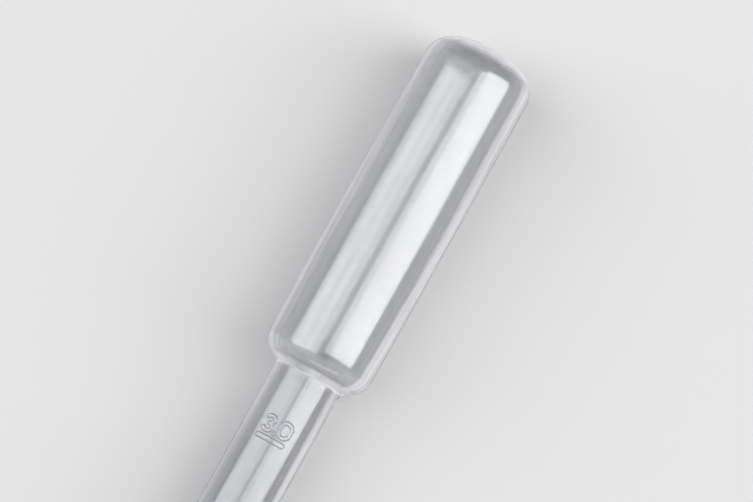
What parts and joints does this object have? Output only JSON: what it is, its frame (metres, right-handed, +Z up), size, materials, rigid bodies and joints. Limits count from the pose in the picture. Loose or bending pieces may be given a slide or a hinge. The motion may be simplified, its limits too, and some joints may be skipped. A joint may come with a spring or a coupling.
{
  "type": "plastic dropper pipette",
  "caption": "One-piece see-through plastic dropper pipette with a long squeeze bulb, a straight stem with a raised scale and a fine drawn tip, lying on its side.",
  "frame": {"origin": "on the floor under the middle of the piece as it lies at rest", "axes": "+X towards the bulb's closed end, +Z up out of the side that carries the scale; the piece's own axis leans 1.64 degrees up towards +X, because it rests on the stem's lower end and on a small flat spot on the bulb's shoulder"},
  "size_m": [0.155, 0.013, 0.0136],
  "materials": {
    "milky_plastic": "natural low-density polythene: milky, half see-through, soft satin gloss"
  },
  "bodies": {
    "root": {"pipette": "milky_plastic"}
  },
  "joints": []
}
